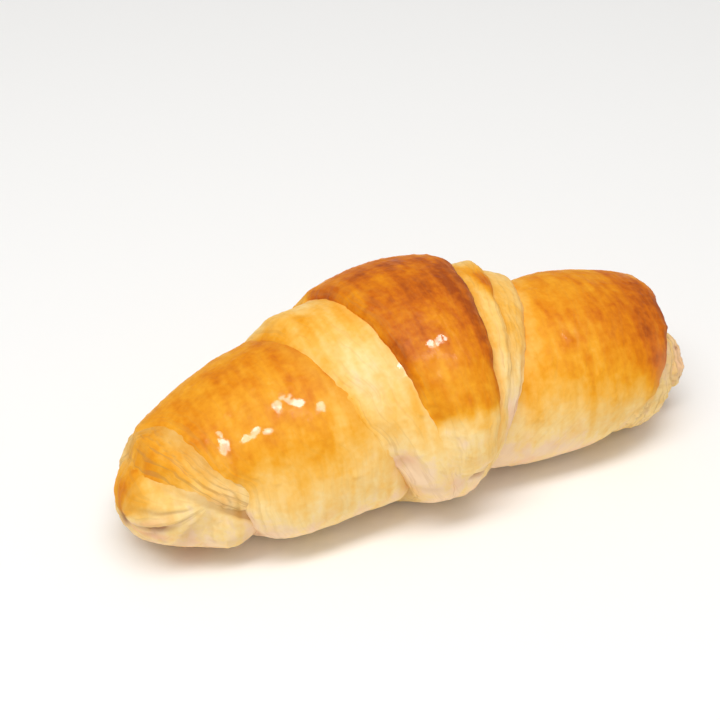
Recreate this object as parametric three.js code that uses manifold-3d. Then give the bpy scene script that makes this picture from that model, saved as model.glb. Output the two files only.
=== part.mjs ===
// A whole ham croissant: a long triangle of laminated dough rolled up from its base to its point,
// so that it is a stack of nested wraps, widest in the middle and stepping down to a tip at each end.
// It is one solid of bread, with the wraps' true steps, lips and creases, lying on its flat belly.
//
// Millimetres, +Z up. X runs along the roll, from the left tip to the right tip; the front is -Y.
// The origin is under the middle of the croissant's box, on the surface that it rests on.

import * as THREE from 'three';
import { mergeVertices } from 'three/addons/utils/BufferGeometryUtils.js';
import Module from 'manifold-3d';

// The roll's axis is a gentle crescent: both ends bend to the front and droop to the table.
const HALF_LENGTH = 84;
const BEND = { left: 4.6, right: 6.3 };
const AXIS_HEIGHT = 25.9;
const DROOP = { left: 11.8, right: 12.3 };
const DROOP_POWER = 1.8;

// A section across the roll is a little flatter than a circle. Its lower half is squarer, as soft
// dough is that rests on a tray: BELLY is the power of that superellipse, and it reaches no further
// below the table than BELLY_SINK, which the flat cut takes off.
const FLATTENING = 0.87;
const BELLY = 2.5;
const BELLY_SINK = 0.8;

// A place round the roll is given in turns: 0 underneath, 0.25 behind, 0.5 on top, 0.75 in front.
const BEHIND = 0.15;
const ON_TOP = 0.5;
const IN_FRONT = 0.8;

// Between these two places, under the belly, a lip's line runs back to where it started.
const UNDER_FROM = 0.86;
const UNDER_TO = 0.08;

// Each wrap lies between two lips. A lip's line is given by its X behind, on top and in front.
// radius: at the left and the right lip. crown: how much prouder the wrap is half way.
// roll: how far the dough rounds over at each lip.
// swellings: soft bulges or hollows, by their X, their place round the roll, their height, and their
// half widths along X and round the roll.
const WRAPS = {
  tip_left: {
    left: [-84.6, -85.3, -81.6], right: [-50, -50, -46],
    radius: [12.3, 19.1], crown: 0.7, roll: [9.6, 3],
    swellings: [
      { x: -60, turn: 0.83, height: 5, width: 9, turnWidth: 0.09 },
      { x: -70, turn: 0.08, height: 4.5, width: 7, turnWidth: 0.12 },
      { x: -68, turn: 0.64, height: 3.2, width: 8, turnWidth: 0.09 },
    ],
  },
  ring_left: {
    left: [-76, -79.5, -53.5], right: [-50, -45, -38],
    radius: [19.3, 21.1], crown: 0.7, roll: [4, 3],
  },
  lobe_left: {
    left: [-78, -69.2, -55.2], right: [-36, -27, -12],
    radius: [20.2, 28.5], crown: 2.7, roll: [2.5, 6],
    swellings: [{ x: -45.3, turn: 0.83, height: 3.8, width: 14, turnWidth: 0.09 }],
  },
  band: {
    left: [-48, -32.8, -13.6], right: [5, 5, 5],
    radius: [28.7, 33.1], crown: 2.4, roll: [4.5, 3],
    swellings: [
      { x: -5.8, turn: 0.83, height: 2.8, width: 8, turnWidth: 0.09 },
      { x: -34, turn: 0.43, height: 1.6, width: 9, turnWidth: 0.07 },
    ],
  },
  lobe_middle: {
    left: [-26.4, -14.1, -3], right: [30.1, 17.8, 9],
    radius: [35.8, 36.9], crown: 2.8, roll: [3, 4],
    swellings: [{ x: 3, turn: 0.83, height: -4.4, width: 12, turnWidth: 0.09 }],
  },
  strip_upper: {
    left: [5, 5, 0], right: [42.3, 25.6, 10.5],
    radius: [32, 34], crown: 0, roll: [3, 2.5],
  },
  strip_lower: {
    left: [10, 10, 4], right: [52, 34.4, 15],
    radius: [31.4, 27.6], crown: 2.5, roll: [3, 3],
  },
  lobe_right: {
    left: [44, 31, 9], right: [70, 77, 55.8],
    radius: [25, 26.6], crown: 2.9, roll: [4, 3.5],
    swellings: [{ x: 57.8, turn: 0.83, height: -1.4, width: 12, turnWidth: 0.09 }],
  },
  ring_right: {
    left: [50, 42, 30], right: [80, 79.5, 75],
    radius: [24, 19], crown: 2, roll: [3, 9],
  },
  tip_right: {
    left: [60, 60, 60], right: [83.5, 84.5, 83.5],
    radius: [12, 9.6], crown: 0, roll: [3, 4.5],
    swellings: [{ x: 81, turn: 0.56, height: 1.4, width: 5, turnWidth: 0.07 }],
  },
};

// How finely the surface is divided.
const COLUMNS = 40;
const ROLL_STEPS = 3;
const ROW_SPACING = 5;

// How deep the upright wall below a lip reaches, and the least radius that a wrap's end keeps.
const WALL_DEPTH = 9;
const LEAST_RADIUS = 1;

// The block that trims the belly flat at the table.
const TABLE = { length: 240, width: 160, depth: 60 };

const CRUST = new THREE.MeshStandardMaterial({ color: 0xe8a13a, roughness: 0.5, metalness: 0 });

const squareOf = (value) => value * value;
const mix = (from, to, share) => from + (to - from) * share;
const smooth = (share) => share * share * (3 - 2 * share);
const bell = (distance, width) => Math.exp(-squareOf(distance / width));

// The distance round the roll between two places, never more than half a turn.
const turnGap = (turn, middle) => Math.abs(turn - middle - Math.round(turn - middle));

// The parabola through a lip's three given places, at a place round the roll.
function parabola([behind, top, front], turn) {
  const atBehind = ((turn - ON_TOP) * (turn - IN_FRONT)) / ((BEHIND - ON_TOP) * (BEHIND - IN_FRONT));
  const atTop = ((turn - BEHIND) * (turn - IN_FRONT)) / ((ON_TOP - BEHIND) * (ON_TOP - IN_FRONT));
  const atFront = ((turn - BEHIND) * (turn - ON_TOP)) / ((IN_FRONT - BEHIND) * (IN_FRONT - ON_TOP));
  return behind * atBehind + top * atTop + front * atFront;
}

// A lip's X at a place round the roll: the parabola, closed smoothly under the belly.
function lipPlace(places, turn) {
  if (turn >= UNDER_TO && turn <= UNDER_FROM) return parabola(places, turn);
  const past = turn > UNDER_FROM ? turn - UNDER_FROM : turn + 1 - UNDER_FROM;
  const share = past / (1 - UNDER_FROM + UNDER_TO);
  return mix(parabola(places, UNDER_FROM), parabola(places, UNDER_TO), smooth(share));
}

// The rows of a wrap at one place round it, from lip to lip: each has its X and how far it lies
// below the wrap's full radius. The rows at each lip follow a quarter circle. The first and the
// last row stand upright below their lip, deep inside the next wrap.
function rowsOf(wrap, turn, middleRows) {
  const left = lipPlace(wrap.left, turn);
  const right = lipPlace(wrap.right, turn);
  const [leftRoll, rightRoll] = wrap.roll;
  const rows = [{ x: left, drop: leftRoll + WALL_DEPTH }];
  for (let step = 0; step <= ROLL_STEPS; step += 1) {
    const angle = ((step / ROLL_STEPS) * Math.PI) / 2;
    rows.push({ x: left + leftRoll * (1 - Math.cos(angle)), drop: leftRoll * (1 - Math.sin(angle)) });
  }
  for (let row = 1; row <= middleRows; row += 1) {
    rows.push({ x: mix(left + leftRoll, right - rightRoll, row / (middleRows + 1)), drop: 0 });
  }
  for (let step = ROLL_STEPS; step >= 0; step -= 1) {
    const angle = ((step / ROLL_STEPS) * Math.PI) / 2;
    rows.push({ x: right - rightRoll * (1 - Math.cos(angle)), drop: rightRoll * (1 - Math.sin(angle)) });
  }
  rows.push({ x: right, drop: rightRoll + WALL_DEPTH });
  return rows.map((row) => ({ ...row, share: (row.x - left) / (right - left) }));
}

// A wrap's radius at a row and a place round the roll.
function radiusOf(wrap, row, turn) {
  const crown = wrap.crown * 4 * row.share * (1 - row.share);
  let radius = mix(wrap.radius[0], wrap.radius[1], row.share) + crown;
  for (const swelling of wrap.swellings ?? []) {
    const along = bell(row.x - swelling.x, swelling.width);
    radius += swelling.height * along * bell(turnGap(turn, swelling.turn), swelling.turnWidth);
  }
  return Math.max(radius - row.drop, LEAST_RADIUS);
}

// The point of space at an X, a place round the roll and a radius from its axis.
function pointOf(x, turn, radius) {
  const side = x < 0 ? 'left' : 'right';
  const outward = Math.abs(x) / HALF_LENGTH;
  const axisY = -BEND[side] * squareOf(outward);
  const axisZ = AXIS_HEIGHT - DROOP[side] * outward ** DROOP_POWER;
  const angle = (turn - 0.25) * 2 * Math.PI;
  const across = Math.cos(angle);
  const up = Math.sin(angle);
  if (up >= 0) return [x, axisY + radius * across, axisZ + FLATTENING * radius * up];
  const fullness = (Math.abs(across) ** BELLY + Math.abs(up) ** BELLY) ** (-1 / BELLY);
  const depth = Math.min(FLATTENING * radius, axisZ + BELLY_SINK);
  return [x, axisY + radius * across * fullness, axisZ + depth * up * fullness];
}

// A wrap as a closed barrel: rings of points from lip to lip, with a fan over each end.
function wrapGeometry(wrap) {
  const length = parabola(wrap.right, ON_TOP) - parabola(wrap.left, ON_TOP);
  const middleRows = Math.max(2, Math.round((length - wrap.roll[0] - wrap.roll[1]) / ROW_SPACING));
  const columns = Array.from({ length: COLUMNS }, (unused, index) => index / COLUMNS);
  const lines = columns.map((turn) => rowsOf(wrap, turn, middleRows));
  const rowCount = lines[0].length;
  const points = [];
  for (let row = 0; row < rowCount; row += 1) {
    columns.forEach((turn, column) => {
      const place = lines[column][row];
      points.push(pointOf(place.x, turn, radiusOf(wrap, place, turn)));
    });
  }
  const triangles = [];
  const at = (row, column) => row * COLUMNS + (column % COLUMNS);
  for (let row = 0; row < rowCount - 1; row += 1) {
    for (let column = 0; column < COLUMNS; column += 1) {
      triangles.push(at(row, column), at(row, column + 1), at(row + 1, column));
      triangles.push(at(row, column + 1), at(row + 1, column + 1), at(row + 1, column));
    }
  }
  const meanX = (row) => lines.reduce((sum, line) => sum + line[row].x, 0) / COLUMNS;
  const leftPole = points.length;
  points.push(pointOf(meanX(0), 0, 0));
  const rightPole = points.length;
  points.push(pointOf(meanX(rowCount - 1), 0, 0));
  for (let column = 0; column < COLUMNS; column += 1) {
    triangles.push(leftPole, at(0, column + 1), at(0, column));
    triangles.push(rightPole, at(rowCount - 1, column), at(rowCount - 1, column + 1));
  }
  const geometry = new THREE.BufferGeometry();
  geometry.setAttribute('position', new THREE.Float32BufferAttribute(points.flat(), 3));
  geometry.setIndex(triangles);
  return geometry;
}

const wasm = await Module();
wasm.setup();

// A closed geometry as a solid that can be joined and cut.
function solidOf(geometry) {
  const bare = geometry.clone();
  bare.deleteAttribute('normal');
  bare.deleteAttribute('uv');
  const merged = mergeVertices(bare);
  return new wasm.Manifold(new wasm.Mesh({
    numProp: 3,
    vertProperties: new Float32Array(merged.attributes.position.array),
    triVerts: new Uint32Array(merged.index.array),
  }));
}

function geometryOf(solid) {
  const mesh = solid.getMesh();
  const geometry = new THREE.BufferGeometry();
  geometry.setAttribute('position', new THREE.Float32BufferAttribute(mesh.vertProperties, 3));
  geometry.setIndex(new THREE.Uint32BufferAttribute(mesh.triVerts, 1));
  geometry.computeVertexNormals();
  return geometry;
}

// The whole croissant: every wrap joined into one loaf, and its belly cut flat at the table.
function croissantGeometry() {
  const wraps = Object.values(WRAPS).map((wrap) => solidOf(wrapGeometry(wrap)));
  const roll = wraps.reduce((joined, wrap) => joined.add(wrap));
  const table = new THREE.BoxGeometry(TABLE.length, TABLE.width, TABLE.depth);
  table.translate(0, 0, -TABLE.depth / 2);
  return geometryOf(roll.subtract(solidOf(table)));
}

const croissant = new THREE.Mesh(croissantGeometry(), CRUST);
croissant.name = 'croissant';

// The origin goes under the middle of the box.
croissant.geometry.computeBoundingBox();
const middle = croissant.geometry.boundingBox.getCenter(new THREE.Vector3());
croissant.geometry.translate(-middle.x, -middle.y, 0);

const part = new THREE.Group();
part.add(croissant);

export default part;
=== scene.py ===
"""A whole ham croissant: nested wraps of laminated dough, egg-washed and baked golden, lying on a pale table.

Every wrap is a surface of rows from lip to lip and columns round the roll. Sizes are millimetres in the
roll's own place. mesh_of moves the origin under the middle of the roll's box and turns them into metres.
"""
import math

import bpy
import numpy as np
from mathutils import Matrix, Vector


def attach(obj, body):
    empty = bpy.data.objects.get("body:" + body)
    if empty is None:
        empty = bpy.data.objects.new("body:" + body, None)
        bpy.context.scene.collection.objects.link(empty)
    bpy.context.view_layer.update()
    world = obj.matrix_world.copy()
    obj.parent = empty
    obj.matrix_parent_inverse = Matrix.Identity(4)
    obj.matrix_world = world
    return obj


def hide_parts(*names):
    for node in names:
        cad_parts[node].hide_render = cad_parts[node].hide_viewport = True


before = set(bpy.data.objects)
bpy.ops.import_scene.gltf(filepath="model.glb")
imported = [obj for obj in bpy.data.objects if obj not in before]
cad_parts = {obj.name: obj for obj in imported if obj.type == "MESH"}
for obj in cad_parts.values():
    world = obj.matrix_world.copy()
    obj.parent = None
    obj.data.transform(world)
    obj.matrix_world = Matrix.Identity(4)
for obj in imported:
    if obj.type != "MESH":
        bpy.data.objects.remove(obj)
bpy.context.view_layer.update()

NODE = "croissant"
MM = 0.001

# -------- the roll's driving dimensions, as in the CAD

HALF_LENGTH = 84.0
BEND_LEFT, BEND_RIGHT = 4.6, 6.3
AXIS_HEIGHT = 25.9
DROOP_LEFT, DROOP_RIGHT = 11.8, 12.3
DROOP_POWER = 1.8
FLATTENING = 0.87
BELLY = 2.5
BELLY_SINK = 0.8

# Places round the roll in turns: 0 underneath, 0.25 behind, 0.5 on top, 0.75 in front.
BEHIND, ON_TOP, IN_FRONT = 0.15, 0.5, 0.8

# Between these two, under the belly, a lip's line runs back to where it started.
UNDER_FROM, UNDER_TO = 0.86, 0.08

# How finely the surfaces are divided: between columns, between rows, and between rows near an open lip.
COLUMN_SPACING = 0.45
ROW_SPACING = 0.45
LIP_ROW_SPACING = 0.30
NEAR_LIP, NEAR_LIP_SHARE = 7.0, 0.4
LIP_ROWS = 16

# How far an open lip curls under itself, how deep the wall below a lip goes, and the least radius left there.
UNDERCUT_DEGREES = 55.0
WALL_DEPTH = 9.0
LEAST_RADIUS = 0.6

# A merged lip: the sheet left on top, over how many mm its edge rises, and where its step starts to come
# back. Past a lip the outline falls so many times as fast as X goes on.
SHEET_THICKNESS = 0.3
SHEET_EDGE = 2.0
MERGED_EDGE = 1.5
PAST_LIP_FALL = 4.0

# A distance further than any on the roll, for what isn't there.
FAR = 99.0

# Each wrap lies between two lips. Places are an X in mm and a turn; half widths are in mm and in turns.
# left, right: a lip's X behind, on top and in front. radius, roll: at the left and the right lip.
# crown: how much prouder the wrap is half way.
# bends: (side, turn, half width, mm), where a lip leaves its smooth line.
# swellings: (x, turn, height, half width, half width).
# capped: the left end is closed, and its X evens out towards the middle.
# open_lips: the lips that curl under themselves and show their sheets' edges.
# merged: (side, neighbour, mm, ((turn, share), ...)), where a lip's step fades into the neighbour under it.
# under: the neighbour and the lip of it that covers this wrap's edge, and in the seam before that lip the
# change of baking level, browner mostly as part of the painted contact shade, the depth of painted shade
# and how wide they are. seam_shows: how much of it shows low in front.
# bake: (turn, level) down the front: how deeply the crust is baked, from 0, pale dough, to 1, deep brown.
# rims: change of level at the left and the right lip.
# patches: (x, turn, half width, half width, change of level).
# clefts: the same, with a depth of painted shade. blush: the same, with a share of pink.
# gloss: (x, turn, half width, half width), where the egg wash lies thick.
# flaky: how much the fine layers show, all over and at the lips. torn: how deep the crumb is torn, in mm.
# strata: the sheets' edges beside the covering lip: how far apart, how high, and how far out they show.
# fan: the sheets fan out from where they are pinched.
# leaves: sheets wound round the end: how far apart and how high.
WRAPS = {
    "tip_left": dict(
        left=(-85.2, -86.2, -81.6), right=(-50, -50, -46), radius=(12.3, 19.1), crown=0.7, roll=(9.6, 3.0),
        capped=True, fan=True,
        swellings=((-60, 0.83, 5.0, 9, 0.09), (-70, 0.08, 4.5, 7, 0.12), (-68, 0.64, 3.2, 8, 0.09)),
        open_lips="", under=("ring_left", "left", 0.06, 0.95, 1.0), seam_shows=1.0,
        bake=((0.5, 0.42), (0.6, 0.27), (0.66, 0.14), (0.75, 0.11), (0.85, 0.08)), rims=(0.0, 0.0),
        flaky=(0.35, 0.8),
        patches=(
            (-86, 0.42, 7, 0.13, 0.45), (-84, 0.60, 6, 0.05, 0.20), (-70, 0.70, 6, 0.05, -0.06),
            (-69.0, 0.93, 4, 0.05, 0.40), (-79.5, 0.49, 4, 0.05, 0.12),
        ),
        clefts=((-79.2, 0.728, 4.2, 0.020, 1.15),),
        blush=((-80, 0.690, 4, 0.018, 0.8), (-79, 0.775, 5, 0.022, 0.8), (-69.5, 0.92, 4, 0.05, 0.9)),
        torn=0.14,
    ),
    "ring_left": dict(
        left=(-76.0, -80.5, -53.5), right=(-50, -45, -38), radius=(19.3, 21.1), crown=0.7, roll=(4.0, 3.0),
        bends=(("left", 0.36, 0.12, 4.0),),
        merged=((
            "left", "tip_left", 5.0,
            ((0.26, 0), (0.34, 1), (0.55, 1), (0.62, 0.5), (0.70, 0.35), (0.80, 0)),
        ),),
        open_lips="left", under=("lobe_left", "left", -0.04, 0.55, 3.0), strata=(2.0, 0.35, 7.0),
        bake=((0.5, 0.48), (0.56, 0.54), (0.62, 0.42), (0.68, 0.22), (0.75, 0.10)), rims=(0.04, 0.0),
        flaky=(0.9, 0.9), patches=((-76, 0.50, 4, 0.05, 0.10),), blush=((-64, 0.72, 5, 0.05, 0.4),),
    ),
    "lobe_left": dict(
        left=(-78, -69.2, -55.2), right=(-36, -27, -12), radius=(20.2, 28.5), crown=2.7, roll=(2.5, 6.0),
        bends=(("left", 0.39, 0.05, -3.0), ("left", 0.70, 0.045, 3.6), ("right", 0.66, 0.06, 6.0)),
        swellings=((-45.3, 0.83, 3.8, 14, 0.09),),
        open_lips="left", under=("band", "left", 0.03, 0.25, 3.0),
        bake=((0.5, 0.69), (0.55, 0.66), (0.62, 0.57), (0.70, 0.41), (0.76, 0.21), (0.82, 0.08)),
        rims=(-0.10, 0.0), flaky=(0.12, 0.55),
        patches=(
            (-64, 0.53, 8, 0.07, 0.08), (-60, 0.64, 6, 0.05, 0.10), (-52, 0.60, 6, 0.04, 0.04),
            (-24, 0.66, 7, 0.07, -0.14),
        ),
        gloss=(
            (-59.0, 0.592, 1.8, 0.042), (-53.4, 0.595, 1.9, 0.010), (-50.6, 0.594, 2.6, 0.010),
            (-47.8, 0.600, 2.2, 0.009), (-43.4, 0.572, 1.5, 0.011), (-41.3, 0.560, 1.6, 0.009),
            (-39.9, 0.571, 1.5, 0.009), (-38.4, 0.583, 1.4, 0.008), (-33.4, 0.604, 1.5, 0.011),
        ),
    ),
    "band": dict(
        left=(-48, -32.8, -13.6), right=(5, 5, 8), radius=(28.7, 33.1), crown=2.4, roll=(4.5, 3.0),
        swellings=((-5.8, 0.83, 2.8, 8, 0.09), (-34, 0.43, 3.0, 9, 0.07)),
        merged=((
            "left", "lobe_left", 8.0,
            ((0.30, 0), (0.40, 0.8), (0.50, 0.5), (0.56, 0.5), (0.63, 1), (0.73, 1), (0.79, 0)),
        ),),
        open_lips="left", under=("lobe_middle", "left", 0.10, 0.2, 2.5),
        bake=((0.5, 0.42), (0.53, 0.34), (0.58, 0.18), (0.64, 0.24), (0.70, 0.18), (0.75, 0.10), (0.8, 0.04)),
        rims=(0.12, 0.0), flaky=(0.25, 0.55),
        patches=(
            # The pale spots at (-10.2, 0.595) and (-8.6, 0.617) on the band's crest are painted highlights.
            (-20, 0.58, 4, 0.05, -0.06), (-10.2, 0.595, 1.4, 0.012, -0.3), (-8.6, 0.617, 1.2, 0.010, -0.3),
            (-26, 0.62, 5, 0.07, 0.12), (-18, 0.625, 4, 0.035, 0.14), (-13, 0.69, 5, 0.05, 0.09),
            (-15, 0.76, 4, 0.04, -0.25), (-38, 0.44, 7, 0.045, 0.30), (-27, 0.45, 4, 0.03, 0.14),
        ),
        clefts=((-8, 0.80, 4, 0.008, 0.35),),
        gloss=((-10.0, 0.60, 2.2, 0.02),),
    ),
    "lobe_middle": dict(
        left=(-26.4, -14.1, -3), right=(30.1, 17.8, 9), radius=(35.8, 36.9), crown=2.8, roll=(3.0, 4.0),
        swellings=((3, 0.83, -4.4, 12, 0.09),), open_lips="both",
        merged=(("left", "band", 6.5, ((0.60, 0), (0.68, 1), (0.90, 1), (0.96, 0))),),
        bake=(
            (0.5, 0.96), (0.54, 0.89), (0.60, 0.84), (0.64, 0.75), (0.672, 0.68), (0.70, 0.18), (0.8, 0.05),
        ),
        rims=(0.0, 0.12), flaky=(0.12, 0.4),
        patches=((13, 0.58, 5, 0.09, 0.08), (-2, 0.63, 5, 0.04, -0.10), (-14, 0.49, 12, 0.06, -0.22)),
        gloss=((-0.1, 0.584, 2.4, 0.007), (-2.8, 0.582, 1.4, 0.005)),
        clefts=((4, 0.787, 7, 0.006, 0.9), (9, 0.770, 4, 0.005, 0.6)),
    ),
    "strip_upper": dict(
        left=(5, 5, 0), right=(42.3, 25.6, 10.5), radius=(32.0, 34.0), crown=0.0, roll=(3.0, 2.5),
        merged=(("right", "strip_lower", 3.0, ((0.60, 0), (0.70, 1), (0.90, 1), (0.96, 0))),),
        open_lips="right", under=("lobe_middle", "right", 0.15, 0.35, 1.4),
        bake=((0.5, 0.34), (0.6, 0.32), (0.7, 0.2), (0.8, 0.08)), rims=(0.0, 0.0), flaky=(0.35, 0.6),
        patches=((24.4, 0.487, 2.8, 0.040, 0.52), (20, 0.53, 3, 0.05, -0.08)),
    ),
    "strip_lower": dict(
        left=(10, 10, 4), right=(52, 34.4, 15), radius=(31.4, 27.6), crown=2.5, roll=(3.0, 3.0),
        merged=(("right", "lobe_right", 4.0, ((0.58, 0), (0.68, 1), (0.90, 1), (0.96, 0))),),
        open_lips="right", under=("strip_upper", "right", 0.08, 0.3, 1.4),
        bake=((0.5, 0.34), (0.6, 0.28), (0.7, 0.06), (0.76, 0.0)), rims=(0.0, 0.0), flaky=(0.35, 0.6),
        blush=((22, 0.72, 6, 0.07, 0.35),),
    ),
    "lobe_right": dict(
        left=(44, 31, 9), right=(70, 77, 55.8), radius=(25.0, 26.6), crown=2.9, roll=(4.0, 3.5),
        bends=(("right", 0.41, 0.07, 1.4),),
        swellings=((57.8, 0.83, -1.4, 12, 0.09),),
        open_lips="right", under=("strip_lower", "right", -0.16, 0.2, 2.5),
        bake=((0.5, 0.68), (0.55, 0.70), (0.62, 0.63), (0.68, 0.52), (0.74, 0.30), (0.82, 0.04)),
        rims=(0.0, 0.14), flaky=(0.12, 0.4),
        patches=((71, 0.54, 9, 0.08, 0.28), (64, 0.65, 12, 0.08, 0.18), (40, 0.54, 6, 0.05, 0.02)),
        blush=((67, 0.70, 3, 0.06, 0.5),),
    ),
    "ring_right": dict(
        left=(50, 42, 30), right=(80.0, 79.5, 75.0), radius=(24.0, 19.0), crown=2.0, roll=(3.0, 9.0),
        open_lips="right", under=("lobe_right", "right", 0.15, 0.6, 1.4),
        bake=((0.5, 0.26), (0.6, 0.18), (0.7, 0.12), (0.8, 0.10)), rims=(0.0, 0.10),
        flaky=(0.7, 0.9), torn=0.36, blush=((76, 0.62, 4, 0.10, 0.45),),
    ),
    "tip_right": dict(
        left=(60, 60, 60), right=(83.5, 84.5, 83.5), radius=(12.0, 9.6), crown=0.0, roll=(3.0, 4.5),
        swellings=((81, 0.56, 1.4, 5, 0.07),),
        open_lips="", under=("ring_right", "right", 0.15, 0.6, 1.4),
        bake=((0.5, 0.18), (0.6, 0.12), (0.7, 0.10), (0.8, 0.14)), rims=(0.0, 0.0),
        flaky=(0.7, 0.7), torn=0.50, leaves=(2.6, 0.5), blush=((85, 0.62, 4, 0.12, 0.65),),
    ),
}

# The left tip's sheets fan out from where they are pinched in front. Their lower edges leave it at these
# angles, seen from the front left: 0 points at the tip and 90 up.
FAN_CENTRE = (-64.0, -19.6, 25.0)
FAN_OUTWARD = (-0.76, 0.65, 0.0)
FAN_EDGES = (-150.0, -52.0, -32.0, -14.0, 12.0, 40.0, 75.0, 150.0)
FAN_STEPS = (0.0, 0.5, 0.85, 0.8, 0.4, 0.3, 0.25, 0.0)
FAN_SHEET = 4.0
FAN_WOBBLE = 0.16

# The fan's steps grow from its centre to its reach, on the tip's side only, and past its end they fade.
FAN_REACH, FAN_START = 11.0, 3.0
FAN_END, FAN_FADE, FAN_LEFT = 16.0, 7.0, 0.33

# Sheets laid like roof tiles: over what share of a sheet its edge rises, on most wraps and on the fan, and
# how wide the painted shade of the dark gap is above and below an edge.
TILE_RISE, FAN_RISE = 0.14, 0.24
GAP_ABOVE, GAP_BELOW = 0.09, 0.12

# Sheets along an open lip: how far apart and how high their edges are, how far in they show, how dark the
# painted shade in their gaps is, over how many mm they show fully, and how much is lost where the lip has
# merged. Last, how dark the painted shade between wound leaves is.
SHEET_SPACING, SHEET_STEP, SHEET_REACH, SHEET_SHADE = 2.2, 0.34, 6.0, 0.7
SHEET_FULL = 1.0
MERGED_LOSS = 0.7
LEAF_SHADE = 0.8

# Beside a covering lip: how dark the painted shade in the gaps is, how much they wobble, over how many mm
# they fade where they end, and where they start and over how many mm.
STRATA_SHADE, STRATA_WOBBLE, STRATA_FADE = 0.75, 0.6, 2.0
STRATA_START, STRATA_RISE = 0.3, 0.6

# The fine layers show as at the lip this far in, in mm, and over this many mm as all over the wrap.
LAYERS_AT_LIP, LAYERS_FADE = 2.0, 4.0

# Broad flakes: how far apart, how high, how dark the painted shade at their edge is, how much of them every
# wrap has, and how much of the crust they cover.
FLAKE_SPACING, FLAKE_STEP, FLAKE_SHADE, FLAKE_LEAST = 5.5, 0.34, 0.35, 0.25
FLAKE_COVER = 0.3

# Small blisters stand where their noise is above the start.
BLISTER_HEIGHT, BLISTER_START = 0.40, 0.35

# Torn crumb's pits: below what noise they start, how sharp their edge is, and how dark their painted shade
# is.
PIT_START, PIT_SHARPNESS, PIT_SHADE = -0.2, 1.6, 0.9

# A cleft's depth in mm at full painted shade. Below a lip, past this share of its roll, painted shade darkens
# the wall over so many mm, and past the whole roll the relief dies away over so many.
CLEFT_DEPTH = 1.2
WALL_START, WALL_DARKENS, RELIEF_FADES = 0.8, 3.0, 2.0

# A seam's painted shade shows fully this far round from the top, in turns, and fades over the same distance
# to this share.
SEAM_TOP, SEAM_SHOWS = 0.10, 0.25

# The baking: the belly browned by the tray, and how far up that shows in mm; how softly the back's edges run,
# in turns; how far in the left and the right rim reach; and how much more browns what stands proud.
BELLY_LEVEL, BELLY_EDGE = 0.66, 0.3
BACK_SPREAD, BACK_START = 0.05, 0.1
RIM_REACH = (4.5, 3.5)
PROUD_BROWNS = 0.10

# The egg wash: how much of it shows and where its ragged edge lies; and the thin film's share, how far round
# from the top it goes, in turns, and from which level of baking, each with the width over which it fades.
WASH_GAIN, WASH_EDGE = 1.5, 0.45
FILM_SHARE = 0.35
FILM_TOP, FILM_TOP_FADE = 0.2, 0.08
FILM_LEVEL, FILM_LEVEL_FADE = 0.35, 0.3

# The pinkish clouds lie on crust paler than this level, and fade in over so much of it.
BLUSH_LEVEL, BLUSH_FADE = 0.35, 0.3

# Unevenness of the dough, the baking and the egg wash: height, size in mm, octaves, seed, and how fast it
# changes along X, Y and Z.
EVENLY = (1.0, 1.0, 1.0)
UNEVENNESS = {
    "left_lip": (0.7, 9.0, 3, 0, EVENLY),
    "right_lip": (0.7, 9.0, 3, 50, EVENLY),
    "lumps": (0.32, 17.0, 2, 1, EVENLY),
    "blisters": (1.0, 3.4, 2, 2, EVENLY),
    "skin": (0.08, 1.8, 2, 3, (1.0, 0.5, 0.5)),
    "sheet_edges": (0.9, 11.0, 3, 4, EVENLY),
    "flake_edges": (1.3, 13.0, 3, 5, (1.0, 0.6, 0.6)),
    "flake_places": (1.6, 8.0, 2, 15, EVENLY),
    "crumb": (1.0, 2.2, 3, 6, EVENLY),
    "bake_clouds": (0.07, 16.0, 3, 700, EVENLY),
    "bake_spots": (0.07, 4.0, 3, 730, EVENLY),
    "bake_edges": (0.014, 9.0, 3, 740, EVENLY),
    "bake_streaks": (0.10, 5.0, 3, 760, (1.0, 0.12, 0.12)),
    "wash_edges": (0.55, 1.9, 3, 900, EVENLY),
    "wash_ripples": (0.05, 3.0, 2, 910, EVENLY),
    "wash_film": (1.5, 5.0, 2, 920, EVENLY),
    "blush_clouds": (0.5, 7.0, 3, 930, EVENLY),
}


# -------- small formulas

def smooth(share):
    """The S-curve 3s^2 - 2s^3 of a share held between 0 and 1."""
    held = np.clip(share, 0.0, 1.0)
    return held * held * (3.0 - 2.0 * held)


def bell(distance, width):
    """exp(-(distance / width)^2)."""
    return np.exp(-((distance / width) ** 2))


def mix(start, end, share):
    """From start to end at a share of the way."""
    return start + (end - start) * share


def turn_gap(turn, middle):
    """The signed gap round the roll between two places, half a turn at most."""
    return (turn - middle + 0.5) % 1.0 - 0.5


def noise(points, seed):
    """Perlin's gradient noise at an (n, 3) array of points, about -1 to 1."""
    rng = np.random.default_rng(seed)
    order = rng.permutation(256)
    vectors = rng.normal(size=(256, 3))
    vectors /= np.linalg.norm(vectors, axis=1)[:, None]
    cell = np.floor(points).astype(int)
    inside = points - cell
    fade = inside ** 3 * (inside * (inside * 6.0 - 15.0) + 10.0)
    total = np.zeros(len(points))
    for corner in range(8):
        step = np.array([corner & 1, (corner >> 1) & 1, corner >> 2])
        at = (cell + step) & 255
        pick = order[(order[(order[at[:, 0]] + at[:, 1]) & 255] + at[:, 2]) & 255]
        weight = np.prod(np.where(step == 1, fade, 1.0 - fade), axis=1)
        total += weight * np.einsum("ij,ij->i", vectors[pick], inside - step)
    return total * 1.6


def fractal(points, size, octaves, seed):
    """Octaves of noise, each half the size and half the height of the last. size is the first's, in mm."""
    shape = points.shape[:-1]
    flat = points.reshape(-1, 3) / size
    total = np.zeros(len(flat))
    for octave in range(octaves):
        total += noise(flat * 2.0 ** octave, seed + octave) / 2.0 ** octave
    return total.reshape(shape)


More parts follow.
